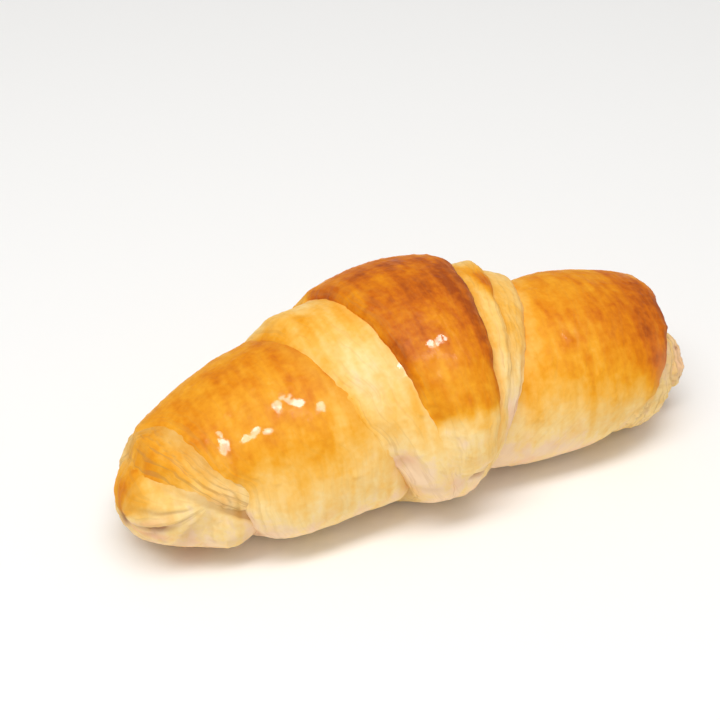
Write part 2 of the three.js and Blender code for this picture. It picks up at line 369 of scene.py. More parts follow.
def uneven(kind, points, seed=0):
    """One kind of unevenness at the points. Each wrap adds its own seed to the dough's, and the baking and
    the egg wash run on from wrap to wrap."""
    height, size, octaves, own_seed, drawn = UNEVENNESS[kind]
    return height * fractal(points * np.array(drawn), size, octaves, own_seed + seed)


def tiled(layers, rise=TILE_RISE):
    """Sheets laid like roof tiles, layers counting them: each rises to 1 at its edge and sinks to 0 before
    the next. Also the painted shade of the dark gaps at the edges."""
    share = layers % 1.0
    height = smooth(share / rise) * (1.0 - share)
    gap_shade = np.maximum(bell(share, GAP_ABOVE), bell(1.0 - share, GAP_BELOW))
    return height, gap_shade


# -------- the roll

def parabola(places, turn):
    """The parabola through a lip's X behind, on top and in front, at places round the roll."""
    behind, top, front = places
    at_behind = (turn - ON_TOP) * (turn - IN_FRONT) / ((BEHIND - ON_TOP) * (BEHIND - IN_FRONT))
    at_top = (turn - BEHIND) * (turn - IN_FRONT) / ((ON_TOP - BEHIND) * (ON_TOP - IN_FRONT))
    at_front = (turn - BEHIND) * (turn - ON_TOP) / ((IN_FRONT - BEHIND) * (IN_FRONT - ON_TOP))
    return behind * at_behind + top * at_top + front * at_front


def lip_line(places, turn):
    """A lip's X round the roll: the parabola, closed by an S-curve under the belly."""
    past = np.where(turn > UNDER_FROM, turn - UNDER_FROM, turn + 1.0 - UNDER_FROM)
    share = past / (1.0 - UNDER_FROM + UNDER_TO)
    closing = mix(parabola(places, UNDER_FROM), parabola(places, UNDER_TO), smooth(share))
    return np.where((turn > UNDER_FROM) | (turn < UNDER_TO), closing, parabola(places, turn))


def widest_radius(name):
    """A wrap's larger radius with its whole crown."""
    return max(WRAPS[name]["radius"]) + WRAPS[name]["crown"]


def seed_of(name):
    """A wrap's own seed: the sum of its name's letter codes."""
    return sum(map(ord, name))


def is_open(wrap, side):
    """Whether a wrap's lip on that side curls under itself."""
    return wrap["open_lips"] in (side, "both")


def lips(name, turn):
    """A wrap's two lips: smooth lines with a small wave, and bends."""
    wrap = WRAPS[name]
    angle = turn * 2 * math.pi
    circle = np.stack([np.cos(angle), np.sin(angle), 0 * angle], axis=-1) * widest_radius(name)
    lines = {}
    for side in ("left", "right"):
        lines[side] = lip_line(wrap[side], turn) + uneven(side + "_lip", circle, seed_of(name))
    for side, at, width, shift in wrap.get("bends", ()):
        lines[side] = lines[side] + shift * bell(turn_gap(turn, at), width)
    return lines["left"], lines["right"]


def roll_point(x, turn, radius):
    """The point at an X, a place round the roll and a radius: an ellipse above the axis, and below it a
    superellipse held at the table's height."""
    outward = np.abs(x) / HALF_LENGTH
    axis_y = -np.where(x < 0, BEND_LEFT, BEND_RIGHT) * outward ** 2
    axis_z = AXIS_HEIGHT - np.where(x < 0, DROOP_LEFT, DROOP_RIGHT) * outward ** DROOP_POWER
    angle = (turn - 0.25) * 2.0 * math.pi
    across, up = np.cos(angle), np.sin(angle)
    full = (np.abs(across) ** BELLY + np.abs(up) ** BELLY) ** (-1.0 / BELLY)
    full = np.where(up < 0, full, 1.0)
    height = np.where(up < 0, np.minimum(FLATTENING * radius, axis_z + BELLY_SINK), FLATTENING * radius)
    y = axis_y + radius * across * full
    z = np.maximum(axis_z + height * up * full, 0.0)
    return np.stack(np.broadcast_arrays(x, y, z), axis=-1)


# A lip's row: how far in from the lip and how far below the full radius it is, its normal's parts along X and
# away from the axis, and its distance from the lip's foremost line.
INWARD, DROP, ACROSS, OUTWARD, DISTANCE = range(5)


def lip_rows(roll, curls, near):
    """A lip's rows, from the wall under it to near millimetres past its roll: a quarter circle, and more of
    it under a lip that curls."""
    angle = np.radians(np.linspace(-UNDERCUT_DEGREES if curls else 0.0, 90.0, LIP_ROWS))
    curl = np.array([
        roll * (1.0 - np.cos(angle)), roll * (1.0 - np.sin(angle)),
        -np.cos(angle), np.sin(angle), roll * angle,
    ])
    wall = np.repeat(curl[:, :1], 2, axis=1)
    depth = WALL_DEPTH * np.array([1.0, 0.5])
    wall[DROP] += depth
    wall[OUTWARD] = 0.0
    wall[DISTANCE] -= depth
    steps = LIP_ROW_SPACING * np.arange(1, int(near / LIP_ROW_SPACING) + 1)
    flat = np.array([roll + steps, 0 * steps, 0 * steps, 0 * steps + 1.0, roll * math.pi / 2 + steps])
    return np.concatenate([wall, curl, flat], axis=1)


def seam_distance(wrap, x, turn):
    """How far along X a place is from the neighbour's lip that covers the wrap's edge, minus under it."""
    if "under" not in wrap:
        return 0.0 * x + FAR
    neighbour, side = wrap["under"][:2]
    left, right = lips(neighbour, turn)
    return left - x if side == "left" else x - right


def wrap_grid(name):
    """A wrap's rows and columns: X, turn, share of the way from lip to lip, drop below the full radius, the
    normal's parts, and the distances to each lip and to the seam."""
    wrap = WRAPS[name]
    columns = int(2.0 * math.pi * widest_radius(name) / COLUMN_SPACING)
    turn = np.arange(columns)[None, :] / columns
    left, right = lips(name, turn)
    near = min(NEAR_LIP, NEAR_LIP_SHARE * (float(np.min(right - left)) - sum(wrap["roll"])))
    lefts, rights = [
        lip_rows(roll, is_open(wrap, side), near if is_open(wrap, side) else 0.0)
        for side, roll in zip(("left", "right"), wrap["roll"])
    ]
    rights = rights[:, ::-1]
    rights[ACROSS] *= -1.0
    start = left + lefts[INWARD, -1]
    end = right - rights[INWARD, 0]
    middle = np.linspace(0.0, 1.0, int(float(np.max(end - start)) / ROW_SPACING) + 2)[1:-1, None]
    at_left = left + lefts[INWARD][:, None]
    at_right = right - rights[INWARD][:, None]
    x = np.concatenate([at_left, mix(start, end, middle), at_right])
    level = np.repeat([[0.0], [0.0], [1.0]], len(middle), axis=1)
    rows = np.concatenate([lefts[DROP:DISTANCE], level, rights[DROP:DISTANCE]], axis=1)
    from_left = x - left + lefts[DISTANCE, -1] - lefts[INWARD, -1]
    from_left[: lefts.shape[1]] = lefts[DISTANCE][:, None]
    from_right = right - x + rights[DISTANCE, 0] - rights[INWARD, 0]
    from_right[-rights.shape[1]:] = rights[DISTANCE][:, None]
    share = np.clip((x - left) / (right - left), 0.0, 1.0)
    if wrap.get("capped"):
        inwards = np.minimum(lefts[DROP] / wrap["radius"][0], 1.0)[:, None]
        x[: lefts.shape[1]] += (np.mean(left) - left) * inwards
    flat = 0.0 * x
    drop, across, outward = rows[:, :, None] + flat
    return dict(
        x=x, turn=turn + flat, share=share, drop=drop, across=across, outward=outward,
        from_left=from_left, from_right=from_right, seam=seam_distance(wrap, x, turn),
    )


def full_radius(wrap, x, turn, share):
    """A wrap's smooth radius: straight from lip to lip, with its crown and its swellings."""
    radius = mix(wrap["radius"][0], wrap["radius"][1], share) + wrap["crown"] * 4.0 * share * (1.0 - share)
    for middle, middle_turn, height, width, turn_width in wrap.get("swellings", ()):
        radius = radius + height * bell(x - middle, width) * bell(turn_gap(turn, middle_turn), turn_width)
    return radius


def rounded_edge(inward, roll):
    """How far a lip's quarter circle drops below the full radius, inward millimetres in from it, and past
    it."""
    across = roll - np.clip(inward, 0.0, roll)
    return roll - np.sqrt(roll * roll - across * across) + PAST_LIP_FALL * np.maximum(-inward, 0.0)


def outline_radius(name, x, turn):
    """A wrap's radius at any X and place round the roll, with its lips' round edges."""
    wrap = WRAPS[name]
    left, right = lips(name, turn)
    share = np.clip((x - left) / (right - left), 0.0, 1.0)
    edges = rounded_edge(x - left, wrap["roll"][0]) + rounded_edge(right - x, wrap["roll"][1])
    return full_radius(wrap, x, turn, share) - edges


def merge_share(turn, fading):
    """How far a lip has merged into its neighbour, round the roll."""
    return smooth(np.interp(turn, *zip(*fading)))


def merged_radius(wrap, grid, radius):
    """The radius with its merging lips levelled: the neighbour's and a thin sheet more at the lip, and the
    wrap's own past the merging length."""
    for side, neighbour, length, fading in wrap.get("merged", ()):
        inward = grid["from_" + side]
        sheet = SHEET_THICKNESS * (1.5 * smooth(inward / SHEET_EDGE) - 1.0) + np.minimum(inward, 0.0)
        level = outline_radius(neighbour, grid["x"], grid["turn"]) + sheet
        joined = mix(level, radius, smooth((inward - MERGED_EDGE) / length))
        radius = mix(radius, joined, merge_share(grid["turn"], fading))
    return radius


def fan_sheets(points, wobble):
    """The fan's steps, the painted shade in their gaps, and the running count of its layers in mm. The sheets
    are counted by their angle round the fan's centre."""
    arm = points - np.array(FAN_CENTRE)
    out = arm @ np.array(FAN_OUTWARD)
    angle = np.degrees(np.arctan2(arm[..., 2], out))
    order = np.arange(len(FAN_EDGES))
    count = np.interp(angle, FAN_EDGES, order)
    distance = np.hypot(out, arm[..., 2])
    grown = np.interp(count, order, FAN_STEPS) * smooth(distance / FAN_REACH) * smooth(out / FAN_START)
    grown = grown * mix(1.0, FAN_LEFT, smooth((distance - FAN_END) / FAN_FADE))
    count = count + 1.0 + FAN_WOBBLE * wobble
    height, gap_shade = tiled(count, FAN_RISE)
    return grown * height, np.minimum(grown, 1.0) * gap_shade, count * FAN_SHEET


def flakes(wrap, grid, points, seed):
    """Broad thin flakes that end in low broken steps roughly along the lips, and the painted shade in their
    gaps.
    """
    height, gap_shade = tiled(grid["x"] / FLAKE_SPACING + uneven("flake_edges", points, seed))
    shown = smooth(FLAKE_COVER + uneven("flake_places", points, seed))
    amount = mix(FLAKE_LEAST, 1.0, wrap["flaky"][0])
    return FLAKE_STEP * amount * height * shown, FLAKE_SHADE * amount * gap_shade * shown


def lip_sheets(wrap, side, grid, wobble):
    """The sheets along an open lip, and the painted shade in their gaps. They fade with the distance from it,
    and where it has merged."""
    parted = 1.0
    for _, _, _, fading in wrap.get("merged", ()):
        parted = np.minimum(parted, 1.0 - MERGED_LOSS * merge_share(grid["turn"], fading))
    distance = grid["from_" + side]
    height, gap_shade = tiled((distance + wobble) / SHEET_SPACING)
    shown = parted * wrap["flaky"][1] * bell(np.maximum(distance - SHEET_FULL, 0.0), SHEET_REACH)
    return SHEET_STEP * shown * height, SHEET_SHADE * shown * gap_shade


def strata(wrap, grid, wobble):
    """The sheets' edges beside the lip that covers a wrap, and the painted shade in their gaps."""
    spacing, step, reach = wrap["strata"]
    height, gap_shade = tiled(-(grid["seam"] + STRATA_WOBBLE * wobble) / spacing)
    shown = smooth((reach - grid["seam"]) / STRATA_FADE) * smooth((grid["seam"] - STRATA_START) / STRATA_RISE)
    return step * shown * height, STRATA_SHADE * shown * gap_shade


def torn_crumb(wrap, points, seed):
    """Rough crumb, as deep as the wrap is torn, and the painted shade in its pits."""
    crumb = uneven("crumb", points, seed)
    torn = wrap.get("torn", 0.0)
    return torn * crumb, np.minimum(2.0 * torn, PIT_SHADE) * smooth(PIT_START - PIT_SHARPNESS * crumb)


def wound_leaves(wrap, grid, wobble):
    """Sheets wound round a wrap's end like a screw, the painted shade in their gaps, and the running count of
    them in mm.
    """
    spacing, step = wrap["leaves"]
    layer = grid["from_right"] + spacing * grid["turn"] + wobble
    height, gap_shade = tiled(layer / spacing)
    return step * height, LEAF_SHADE * gap_shade, layer


def wrap_relief(name, grid, points):
    """A wrap's relief along its normal in mm, the painted shade of the dark gaps in it, from 0 to 1, the
    running count of its fine layers in mm, and how much they show."""
    wrap = WRAPS[name]
    seed = seed_of(name)
    wobble = uneven("sheet_edges", points, seed)
    relief = uneven("lumps", points, seed)
    relief = relief + BLISTER_HEIGHT * np.maximum(uneven("blisters", points, seed) - BLISTER_START, 0.0)
    relief = relief + uneven("skin", points, seed)
    steps = [flakes(wrap, grid, points, seed)]
    layer = np.full_like(relief, FAR)
    for side in ("left", "right"):
        if is_open(wrap, side):
            steps.append(lip_sheets(wrap, side, grid, wobble))
            layer = np.minimum(layer, grid["from_" + side] + wobble)
    shown = mix(*wrap["flaky"], bell(np.maximum(layer - LAYERS_AT_LIP, 0.0), LAYERS_FADE))
    if "fan" in wrap:
        *sheets, layer = fan_sheets(points, wobble)
        steps.append(sheets)
    if "strata" in wrap:
        steps.append(strata(wrap, grid, wobble))
    steps.append(torn_crumb(wrap, points, seed))
    if "leaves" in wrap:
        *sheets, layer = wound_leaves(wrap, grid, wobble)
        steps.append(sheets)
    all_gap_shade = np.zeros_like(relief)
    for step, gap_shade in steps:
        relief = relief + step
        all_gap_shade = np.maximum(all_gap_shade, gap_shade)
    return relief, all_gap_shade, layer, shown


def seam_fade(wrap, turn):
    """How much a seam's painted shade and change of level show: fully on top, and less low in front and
    behind, unless the wrap says otherwise. An open one fades as its lip merges."""
    low = wrap.get("seam_shows", SEAM_SHOWS)
    shown = mix(1.0, low, smooth((np.abs(turn - ON_TOP) - SEAM_TOP) / SEAM_TOP))
    neighbour, lip = wrap["under"][:2]
    for side, _, _, fading in WRAPS[neighbour].get("merged", ()):
        if side == lip and low == 1.0:
            shown = shown * (1.0 - merge_share(turn, fading))
    return shown


def spots(wrap, key, grid):
    """The sum of a wrap's soft oval spots of one kind."""
    total = np.zeros_like(grid["x"])
    for x, turn, width, turn_width, amount in wrap.get(key, ()):
        total = total + amount * bell(grid["x"] - x, width) * bell(turn_gap(grid["turn"], turn), turn_width)
    return total


def browning(wrap, grid, points, relief):
    """How deeply the crust is baked: its bake down the front and the back, changed by rims, patches, streaks,
    blotches and the relief, because what stands proud browns more. The tray browns the belly."""
    turn = grid["turn"]
    down = ON_TOP + np.abs(turn - ON_TOP) + uneven("bake_edges", points)
    turns, levels = zip(*wrap["bake"])
    spread = BACK_SPREAD * smooth((ON_TOP - turn) / BACK_START)
    level = (np.interp(down - spread, turns, levels) + np.interp(down + spread, turns, levels)) / 2.0
    level = level + spots(wrap, "patches", grid)
    for side, change, reach in zip(("left", "right"), wrap["rims"], RIM_REACH):
        level = level + change * bell(np.maximum(grid["from_" + side], 0.0), reach)
    level = level + uneven("bake_clouds", points) + uneven("bake_spots", points)
    level = level + uneven("bake_streaks", points) + PROUD_BROWNS * relief
    # Before a covering lip the level changes, browner mostly, as part of the seam's painted contact shade.
    if "under" in wrap:
        change, _, width = wrap["under"][2:]
        before_seam = bell(np.maximum(grid["seam"] - 0.5 * width, 0.0), width)
        level = level + change * seam_fade(wrap, turn) * before_seam
    belly = smooth((BELLY_EDGE - points[..., 2]) / BELLY_EDGE)
    return np.clip(mix(level, BELLY_LEVEL, belly), 0.0, 1.0)


def shading(wrap, grid, all_gap_shade):
    """How dark the painted shade is, 0 to 1: on walls under lips, in gaps between sheets, clefts and seams.
    """
    roll = max(wrap["roll"])
    shade = np.maximum(smooth((grid["drop"] - WALL_START * roll) / WALL_DARKENS), all_gap_shade)
    shade = np.maximum(shade, spots(wrap, "clefts", grid))
    if "under" in wrap:
        _, depth, width = wrap["under"][2:]
        seam = depth * seam_fade(wrap, grid["turn"]) * bell(np.maximum(grid["seam"], 0.0), width)
        shade = np.maximum(shade, seam)
    return shade


def thick_wash(wrap, grid):
    """Where the egg wash lies thick: the highest of the wrap's oval spots."""
    wash = np.zeros_like(grid["x"])
    for x, turn, width, turn_width in wrap.get("gloss", ()):
        wash = np.maximum(wash, bell(grid["x"] - x, width) * bell(turn_gap(grid["turn"], turn), turn_width))
    return wash


def glossiness(grid, points, wash, brown):
    """How glossy the crust is: thick wash with ragged edges, and clouds of a thin film on the browned top."""
    upper = smooth((FILM_TOP - np.abs(grid["turn"] - ON_TOP)) / FILM_TOP_FADE)
    upper = upper * smooth((brown - FILM_LEVEL) / FILM_LEVEL_FADE)
    ragged = smooth(WASH_GAIN * wash - WASH_EDGE + uneven("wash_edges", points))
    return np.clip(ragged + FILM_SHARE * upper * smooth(uneven("wash_film", points)), 0.0, 1.0)


def wrap_surface(name):
    """A wrap's points, and the values that its colour, painted shade, gloss and fine layers are worked out
    from.
    Its relief stands along the normal, and dies away deep under a lip."""
    wrap = WRAPS[name]
    grid = wrap_grid(name)
    x, turn, drop = grid["x"], grid["turn"], grid["drop"]
    radius = full_radius(wrap, x, turn, grid["share"])
    smooth_place = roll_point(x, turn, radius)
    edge = np.maximum(merged_radius(wrap, grid, radius - drop), LEAST_RADIUS)
    relief, all_gap_shade, layer, flaky = wrap_relief(name, grid, roll_point(x, turn, edge))
    wash = thick_wash(wrap, grid)
    relief = relief + smooth(3.0 * wash) * uneven("wash_ripples", smooth_place)
    relief = relief - CLEFT_DEPTH * spots(wrap, "clefts", grid)
    held = relief * bell(np.maximum(drop - max(wrap["roll"]), 0.0), RELIEF_FADES)
    height = np.maximum(edge + grid["outward"] * held, LEAST_RADIUS)
    points = roll_point(x + grid["across"] * held, turn, height)
    brown = browning(wrap, grid, smooth_place, relief)
    # Painted shade, from 0 to 1, in the creases, gaps, clefts and seams.
    painted_shade = shading(wrap, grid, all_gap_shade)
    gloss = glossiness(grid, smooth_place, wash, brown) * (1.0 - painted_shade)
    clouds = uneven("blush_clouds", smooth_place) * smooth((BLUSH_LEVEL - brown) / BLUSH_FADE)
    blush = np.clip(spots(wrap, "blush", grid) + clouds, 0.0, 1.0)
    return points, dict(brown=brown, painted_shade=painted_shade, gloss=gloss, blush=blush, layer=layer, flaky=flaky)


def roll_middle(surfaces):
    """The middle of the roll's box, which the origin lies under."""
    lows = np.min([points.reshape(-1, 3).min(axis=0) for points, _ in surfaces.values()], axis=0)
    highs = np.max([points.reshape(-1, 3).max(axis=0) for points, _ in surfaces.values()], axis=0)
    middle = (lows + highs) / 2.0
    return np.array([middle[0], middle[1], 0.0])


def mesh_of(name, points, values, middle):
    """A closed mesh from a grid of points: quads, and triangles to the middle of each end. Each value becomes
    an attribute of the mesh."""
    rows, columns = points.shape[:2]
    poles = np.stack([points[0].mean(axis=0), points[-1].mean(axis=0)])
    corners = (np.concatenate([points.reshape(-1, 3), poles]) - middle) * MM
    index = np.arange(rows * columns).reshape(rows, columns)
    after = np.roll(index, -1, axis=1)
    quads = np.stack([index[:-1], after[:-1], after[1:], index[1:]], axis=-1).reshape(-1, 4)
    first = np.stack([np.full(columns, rows * columns), after[0], index[0]], axis=-1)
    last = np.stack([np.full(columns, rows * columns + 1), index[-1], after[-1]], axis=-1)
    fans = np.concatenate([first, last])
    mesh = bpy.data.meshes.new(name)
    mesh.vertices.add(len(corners))
    mesh.vertices.foreach_set("co", corners.ravel())
    mesh.loops.add(quads.size + fans.size)
    mesh.loops.foreach_set("vertex_index", np.concatenate([quads.ravel(), fans.ravel()]))
    mesh.polygons.add(len(quads) + len(fans))
    starts = np.concatenate([np.arange(len(quads)) * 4, quads.size + np.arange(len(fans)) * 3])
    mesh.polygons.foreach_set("loop_start", starts)
    mesh.polygons.foreach_set("use_smooth", np.ones(len(starts), dtype=bool))
    mesh.update(calc_edges=True)
    for key, grid in values.items():
        ends = [grid[0].mean(), grid[-1].mean()]
        attribute = mesh.attributes.new(key, "FLOAT", "POINT")
        attribute.data.foreach_set("value", np.concatenate([grid.ravel(), ends]))
    mesh.validate()
    piece = bpy.data.objects.new(name, mesh)
    bpy.context.scene.collection.objects.link(piece)
    return piece


# -------- the crust's material

def srgb(red, green, blue):
    """A colour of 0 to 255 display values as linear light."""
    values = np.array([red, green, blue]) / 255.0
    linear = np.where(values <= 0.04045, values / 12.92, ((values + 0.055) / 1.055) ** 2.4)
    return (*linear, 1.0)


# The crust's colour by its level of baking, the colours of painted shade in its gaps, and of its pinkish
# places.
BAKE_COLOURS = (
    (0.00, srgb(252, 220, 182)),
    (0.14, srgb(254, 221, 152)),
    (0.30, srgb(251, 203, 115)),
    (0.45, srgb(247, 184, 75)),
    (0.60, srgb(240, 162, 32)),
    (0.75, srgb(226, 134, 6)),
    (0.88, srgb(203, 103, 3)),
    (1.00, srgb(164, 72, 5)),
)
GAP_SHADE_COLOUR = srgb(190, 136, 74)
DEEP_GAP_SHADE_COLOUR = srgb(146, 78, 42)
BLUSH_COLOUR = srgb(243, 170, 134)

# Patterns in the crust: a noise's size in mm and its detail, and how slowly a drawn-out one changes along it.
LAYERS_SIZE, LAYERS_DETAIL, LAYERS_DRAWN = 0.9, 2.0, 0.07
STREAKS_SIZE, STREAKS_DETAIL, STREAKS_DRAWN = 2.2, 3.0, 0.14
SPECKLE_SIZE, SPECKLE_DETAIL = 1.4, 4.0
GRAIN_SIZE, GRAIN_DETAIL = 0.8, 5.0
BUBBLES_SIZE, BUBBLES_PATCH_SIZE, BUBBLES_PATCH_DETAIL = 2.4, 6.0, 2.0

# How much the streaks and the speckle change the level of baking.
STREAKS_LEVEL, SPECKLE_LEVEL = 0.22, 0.18

# Where a pattern or a value starts to count and where it counts fully.
THIN_GAP_SHADE_FROM, THIN_GAP_SHADE_TO = 0.47, 0.36
DEEP_GAP_SHADE_FROM, DEEP_GAP_SHADE_TO = 0.7, 1.0
DULLED_FROM, DULLED_TO = 0.1, 0.7
WASHED_FROM, WASHED_TO = 0.25, 0.8
BUBBLES_PATCH_FROM, BUBBLES_PATCH_TO = 0.45, 0.7
BUBBLE_EDGE, BUBBLE_TOP = 0.6, 0.0

# How much painted shade shows at most in the creases, in the fine layers' gaps and in the deep gaps, and how
# much of the pinkish places' colour.
CREASE_SHADE_SHOWS, THIN_GAP_SHADE_SHOWS, DEEP_GAP_SHADE_SHOWS, BLUSH_SHOWS = 0.6, 0.5, 0.5, 0.6

# Pale crust is the roughest. Browning smooths it a little, and egg wash more, with a clear coat over it.
PALE_ROUGHNESS, BROWN_SMOOTHS, WASH_SMOOTHS = 0.72, 0.16, 0.30
SPECULAR_LEVEL = 0.10
WASH_ROUGHNESS = 0.10

# The fine relief: how much each pattern counts, and the whole's strength and height in mm.
GRAIN_HEIGHT, LAYERS_HEIGHT, BUBBLES_HEIGHT = 0.5, 1.2, 0.8
BUMP_STRENGTH, BUMP_HEIGHT = 0.5, 0.30


class CrustNodes:
    """The crust's node tree, with short ways to add the few kinds of node that it needs."""

    def __init__(self, tree):
        self.nodes = tree.nodes
        self.links = tree.links
        self.nodes.clear()
        self.place = self.nodes.new("ShaderNodeTexCoord").outputs["Object"]
        apart = self.nodes.new("ShaderNodeSeparateXYZ")
        self.links.new(self.place, apart.inputs[0])
        self.x, self.y, self.z = apart.outputs

    def value(self, name):
        """One of the mesh's attributes."""
        node = self.nodes.new("ShaderNodeAttribute")
        node.attribute_name = name
        return node.outputs["Fac"]

    def noise(self, size_mm, detail, place=None):
        """Noise of a size and a detail, at the object's own place or another."""
        node = self.nodes.new("ShaderNodeTexNoise")
        node.inputs["Scale"].default_value = 1.0 / (size_mm * MM)
        node.inputs["Detail"].default_value = detail
        self.links.new(place or self.place, node.inputs["Vector"])
        return node.outputs["Fac"]

    def math(self, operation, first, second):
        """The operation on two sockets, or on a socket and a number."""
        node = self.nodes.new("ShaderNodeMath")
        node.operation = operation
        node.use_clamp = operation == "MAXIMUM"
        for socket, value in zip(node.inputs, (first, second)):
            if isinstance(value, float):
                socket.default_value = value
            else:
                self.links.new(value, socket)
        return node.outputs[0]

    def times(self, first, second):
        return self.math("MULTIPLY", first, second)

    def plus(self, first, second):
        return self.math("ADD", first, second)

    def minus(self, first, second):
        return self.math("SUBTRACT", first, second)

    def ranged(self, value, low, high):
        """An S-curve of the value, from 0 at low to 1 at high."""
        node = self.nodes.new("ShaderNodeMapRange")
        node.interpolation_type = "SMOOTHSTEP"
        node.inputs["From Min"].default_value = low
        node.inputs["From Max"].default_value = high
        self.links.new(value, node.inputs["Value"])
        return node.outputs["Result"]

    def mixed(self, share, first, colour):
        """The first colour with a share of the second."""
        node = self.nodes.new("ShaderNodeMix")
        node.data_type = "RGBA"
        self.links.new(share, node.inputs["Factor"])
        self.links.new(first, node.inputs["A"])
        node.inputs["B"].default_value = colour
        return node.outputs["Result"]

    def drawn_out(self, across, slowness):
        """A place that changes fully with the first socket, and slowly with Y and Z."""
        node = self.nodes.new("ShaderNodeCombineXYZ")
        self.links.new(across, node.inputs["X"])
        self.links.new(self.times(self.y, slowness), node.inputs["Y"])
        self.links.new(self.times(self.z, slowness), node.inputs["Z"])
        return node.outputs[0]

    def about_zero(self, pattern, height):
        """A pattern moved to lie about zero, times its height."""
        return self.times(self.minus(pattern, 0.5), height)

    def ramp(self, level, colours):
        """The colour at a level, between the colours given."""
        node = self.nodes.new("ShaderNodeValToRGB")
        stops = node.color_ramp.elements
        for index, (at, colour) in enumerate(colours):
            stop = stops[index] if index < 2 else stops.new(at)
            stop.position = at
            stop.color = colour
        self.links.new(level, node.inputs["Fac"])
        return node.outputs["Color"]


def crust_colour(crust, layers):
    """The baking's colour with streaks and speckle, the pinkish places, and then painted shade in the gaps:
    between the fine layers, in the creases, and in the deep ones."""
    streaks = crust.noise(STREAKS_SIZE, STREAKS_DETAIL, crust.drawn_out(crust.x, STREAKS_DRAWN))
    streaks = crust.about_zero(streaks, STREAKS_LEVEL)
    speckle = crust.about_zero(crust.noise(SPECKLE_SIZE, SPECKLE_DETAIL), SPECKLE_LEVEL)
    level = crust.plus(crust.value("brown"), crust.plus(speckle, streaks))
    baked = crust.ramp(level, BAKE_COLOURS)
    blushed = crust.mixed(crust.times(crust.value("blush"), BLUSH_SHOWS), baked, BLUSH_COLOUR)
    thin_gap_shade = crust.times(crust.ranged(layers, THIN_GAP_SHADE_FROM, THIN_GAP_SHADE_TO), crust.value("flaky"))
    # Painted shade: creases and the fine layers' gaps take the gap shade colour, the deepest a darker one.
    crease_shade = crust.times(crust.value("painted_shade"), CREASE_SHADE_SHOWS)
    all_gap_shade = crust.math("MAXIMUM", crease_shade, crust.times(thin_gap_shade, THIN_GAP_SHADE_SHOWS))
    deep_gap_shade = crust.ranged(crust.value("painted_shade"), DEEP_GAP_SHADE_FROM, DEEP_GAP_SHADE_TO)
    shaded = crust.mixed(all_gap_shade, blushed, GAP_SHADE_COLOUR)
    return crust.mixed(crust.times(deep_gap_shade, DEEP_GAP_SHADE_SHOWS), shaded, DEEP_GAP_SHADE_COLOUR)


def crust_roughness(crust):
    """Roughness: the pale crust's, less a share of the browning and of the egg wash."""
    browned = crust.minus(PALE_ROUGHNESS, crust.times(crust.value("brown"), BROWN_SMOOTHS))
    return crust.minus(browned, crust.times(crust.value("gloss"), WASH_SMOOTHS))


def crust_bump(crust, layers):
    """Grain and patches of tiny round bubbles where there is no thick wash, and the fine layers' ridges."""
    dull = crust.minus(1.0, crust.ranged(crust.value("gloss"), DULLED_FROM, DULLED_TO))
    grain = crust.times(crust.times(crust.noise(GRAIN_SIZE, GRAIN_DETAIL), dull), GRAIN_HEIGHT)
    ridges = crust.times(crust.times(layers, crust.value("flaky")), LAYERS_HEIGHT)
    cells = crust.nodes.new("ShaderNodeTexVoronoi")
    cells.feature = "SMOOTH_F1"
    cells.inputs["Scale"].default_value = 1.0 / (BUBBLES_SIZE * MM)
    crust.links.new(crust.place, cells.inputs["Vector"])
    patches = crust.noise(BUBBLES_PATCH_SIZE, BUBBLES_PATCH_DETAIL)
    patches = crust.ranged(patches, BUBBLES_PATCH_FROM, BUBBLES_PATCH_TO)
    bubbles = crust.times(patches, crust.ranged(cells.outputs["Distance"], BUBBLE_EDGE, BUBBLE_TOP))
    bubbles = crust.times(crust.times(bubbles, dull), BUBBLES_HEIGHT)
    bump = crust.nodes.new("ShaderNodeBump")
    bump.inputs["Strength"].default_value = BUMP_STRENGTH
    bump.inputs["Distance"].default_value = BUMP_HEIGHT * MM
    crust.links.new(crust.plus(crust.plus(grain, ridges), bubbles), bump.inputs["Height"])
    return bump.outputs["Normal"]


def crust_material():
    """Egg-washed crust. Its fine layers are noise drawn out along them."""
    material = bpy.data.materials.new("egg_washed_crust")
    material.use_nodes = True
    crust = CrustNodes(material.node_tree)
    shader = crust.nodes.new("ShaderNodeBsdfPrincipled")
    shader.inputs["Specular IOR Level"].default_value = SPECULAR_LEVEL
    shader.inputs["Coat Roughness"].default_value = WASH_ROUGHNESS
    output = crust.nodes.new("ShaderNodeOutputMaterial")
    crust.links.new(shader.outputs[0], output.inputs[0])
    across = crust.drawn_out(crust.times(crust.value("layer"), MM), LAYERS_DRAWN)
    layers = crust.noise(LAYERS_SIZE, LAYERS_DETAIL, across)
    crust.links.new(crust_colour(crust, layers), shader.inputs["Base Color"])
    crust.links.new(crust_roughness(crust), shader.inputs["Roughness"])
    washed = crust.ranged(crust.value("gloss"), WASHED_FROM, WASHED_TO)
    crust.links.new(washed, shader.inputs["Coat Weight"])
    crust.links.new(crust_bump(crust, layers), shader.inputs["Normal"])
    return material


# -------- build

surfaces = {name: wrap_surface(name) for name in WRAPS}
middle = roll_middle(surfaces)
crust = crust_material()
for name, (points, values) in surfaces.items():
    piece = mesh_of(name, points, values, middle)
    piece.data.materials.append(crust)
    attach(piece, "root")
    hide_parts(NODE)


# -------- table, light and camera

# Metres and degrees, apart from the point looked at, in mm. A turn of 0 is the front, and a rise of 90 above.
TABLE_SIZE = 6.0
TABLE_DROP = 0.0002
TABLE_COLOUR, TABLE_ROUGHNESS = srgb(247, 246, 244), 0.7
LOOK_AT = np.array([-9.9, 7.6, 32.7]) * MM
CAMERA_TURN, CAMERA_RISE = -25.1, 37.46
CAMERA_DISTANCE = 0.470
CAMERA_LENS, CAMERA_SENSOR = 85.0, 36.0
CAMERA_NEAR = 0.01

